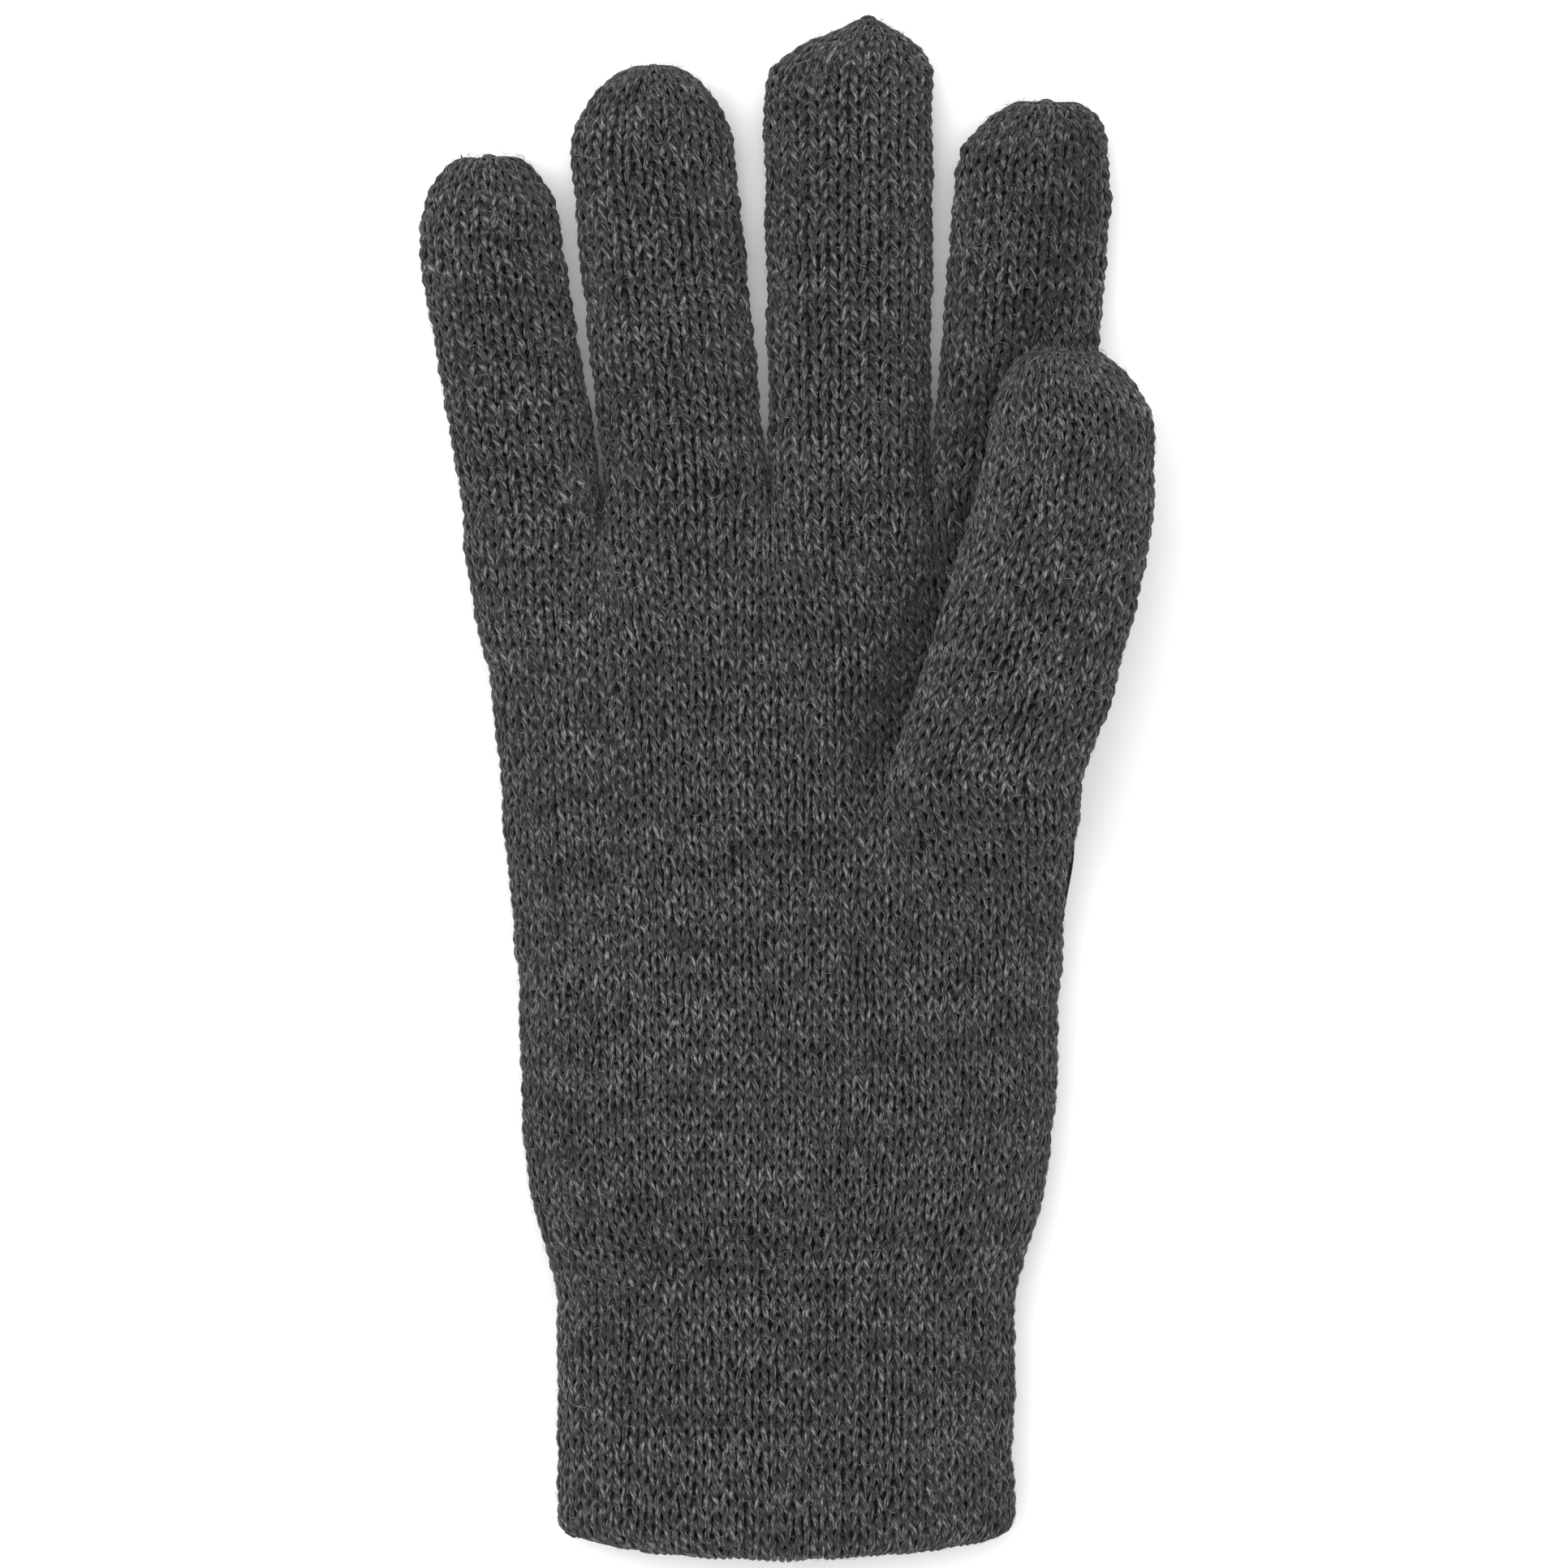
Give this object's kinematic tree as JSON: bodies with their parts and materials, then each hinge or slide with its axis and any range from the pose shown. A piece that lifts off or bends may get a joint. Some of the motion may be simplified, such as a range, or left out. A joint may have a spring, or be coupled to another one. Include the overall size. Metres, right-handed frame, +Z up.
{
  "type": "knitted glove",
  "caption": "Right-hand adult glove in plain charcoal knit with jointed finger tubes, a thumb over the palm and a turned double cuff.",
  "frame": {"origin": "centre of the bounding box at its lowest level, under the middle of the hand, on the surface that the glove lies on", "axes": "+Y toward the fingertips, +X toward the thumb side, +Z up out of the palm; the back of the hand lies on z = 0"},
  "size_m": [0.1262, 0.2654, 0.0358],
  "materials": {
    "knit": "matt charcoal melange wool-blend stockinette, soft and slightly hairy",
    "gathered_knit": "the same yarn, drawn together and dense",
    "elastic": "covered elastic thread, matt"
  },
  "bodies": {
    "hand": {"hand_palm_side": "knit", "hand_back_side": "knit", "little_ring_crotch_web": "knit", "ring_middle_crotch_web": "knit", "middle_index_crotch_web": "knit", "thumb_gusset": "knit", "wrist_gathered_band": "knit"},
    "cuff": {"cuff_outer_layer": "knit", "cuff_inner_layer": "knit", "cuff_hem_fold": "knit", "cuff_elastic_thread_1": "elastic", "cuff_elastic_thread_2": "elastic", "cuff_elastic_thread_3": "elastic", "cuff_elastic_thread_4": "elastic"},
    "little_proximal": {"little_proximal_tube": "knit"},
    "little_middle": {"little_middle_tube": "knit"},
    "little_tip": {"little_tip_tube": "knit", "little_tip_closure": "gathered_knit"},
    "ring_proximal": {"ring_proximal_tube": "knit"},
    "ring_middle": {"ring_middle_tube": "knit"},
    "ring_tip": {"ring_tip_tube": "knit", "ring_tip_closure": "gathered_knit"},
    "middle_proximal": {"middle_proximal_tube": "knit"},
    "middle_middle": {"middle_middle_tube": "knit"},
    "middle_tip": {"middle_tip_tube": "knit", "middle_tip_closure": "gathered_knit"},
    "index_proximal": {"index_proximal_tube": "knit"},
    "index_middle": {"index_middle_tube": "knit"},
    "index_tip": {"index_tip_tube": "knit", "index_tip_closure": "gathered_knit"},
    "thumb_base": {"thumb_base_tube": "knit"},
    "thumb_lower": {"thumb_lower_tube": "knit"},
    "thumb_tip": {"thumb_tip_tube": "knit", "thumb_tip_closure": "gathered_knit"}
  },
  "joints": [
    {"name": "little_knuckle_bend", "type": "hinge", "parent": "hand", "child": "little_proximal", "pos_m": [-0.04355, 0.0495, 0.00923], "axis": [1, 0, 0], "range_deg": [0, 80]},
    {"name": "little_middle_bend", "type": "hinge", "parent": "little_proximal", "child": "little_middle", "pos_m": [-0.04715, 0.0715, 0.00923], "axis": [1, 0, 0], "range_deg": [0, 90]},
    {"name": "little_tip_bend", "type": "hinge", "parent": "little_middle", "child": "little_tip", "pos_m": [-0.05001, 0.089, 0.00923], "axis": [1, 0, 0], "range_deg": [0, 54]},
    {"name": "ring_knuckle_bend", "type": "hinge", "parent": "hand", "child": "ring_proximal", "pos_m": [-0.01686, 0.0525, 0.00994], "axis": [1, 0, 0], "range_deg": [0, 80]},
    {"name": "ring_middle_bend", "type": "hinge", "parent": "ring_proximal", "child": "ring_middle", "pos_m": [-0.01962, 0.079, 0.00994], "axis": [1, 0, 0], "range_deg": [0, 90]},
    {"name": "ring_tip_bend", "type": "hinge", "parent": "ring_middle", "child": "ring_tip", "pos_m": [-0.02187, 0.1005, 0.00994], "axis": [1, 0, 0], "range_deg": [0, 54]},
    {"name": "middle_knuckle_bend", "type": "hinge", "parent": "hand", "child": "middle_proximal", "pos_m": [0.01129, 0.0525, 0.00994], "axis": [1, 0, 0], "range_deg": [0, 80]},
    {"name": "middle_middle_bend", "type": "hinge", "parent": "middle_proximal", "child": "middle_middle", "pos_m": [0.01119, 0.0815, 0.00994], "axis": [1, 0, 0], "range_deg": [0, 90]},
    {"name": "middle_tip_bend", "type": "hinge", "parent": "middle_middle", "child": "middle_tip", "pos_m": [0.0111, 0.1055, 0.00994], "axis": [1, 0, 0], "range_deg": [0, 54]},
    {"name": "index_knuckle_bend", "type": "hinge", "parent": "hand", "child": "index_proximal", "pos_m": [0.03882, 0.0525, 0.00994], "axis": [1, 0, 0], "range_deg": [0, 80]},
    {"name": "index_middle_bend", "type": "hinge", "parent": "index_proximal", "child": "index_middle", "pos_m": [0.04108, 0.0805, 0.00994], "axis": [1, 0, 0], "range_deg": [0, 85]},
    {"name": "index_tip_bend", "type": "hinge", "parent": "index_middle", "child": "index_tip", "pos_m": [0.04261, 0.0995, 0.00994], "axis": [1, 0, 0], "range_deg": [0, 51]},
    {"name": "thumb_lift", "type": "hinge", "parent": "hand", "child": "thumb_base", "pos_m": [0.0342, 0.001, 0.0348], "axis": [1, 0, 0], "range_deg": [0, 64]},
    {"name": "thumb_swing", "type": "hinge", "parent": "thumb_base", "child": "thumb_lower", "pos_m": [0.054, 0.0123, 0.0283], "axis": [0, 0, -1], "range_deg": [0, 40]},
    {"name": "thumb_bend", "type": "hinge", "parent": "thumb_lower", "child": "thumb_tip", "pos_m": [0.047, 0.0437, 0.0297], "axis": [1, 0, 0], "range_deg": [0, 60]},
    {"name": "wrist_bend", "type": "hinge", "parent": "hand", "child": "cuff", "pos_m": [0.0003, -0.0769, 0.01], "axis": [-1, 0, 0], "range_deg": [-30, 45], "deforming": ["wrist_gathered_band"]}
  ],
  "couplings": [
    {"joint": "little_tip_bend", "follows": "little_middle_bend", "ratio": 0.6},
    {"joint": "ring_tip_bend", "follows": "ring_middle_bend", "ratio": 0.6},
    {"joint": "middle_tip_bend", "follows": "middle_middle_bend", "ratio": 0.6},
    {"joint": "index_tip_bend", "follows": "index_middle_bend", "ratio": 0.6},
    {"joint": "thumb_lift", "follows": "index_knuckle_bend", "ratio": 0.8}
  ]
}
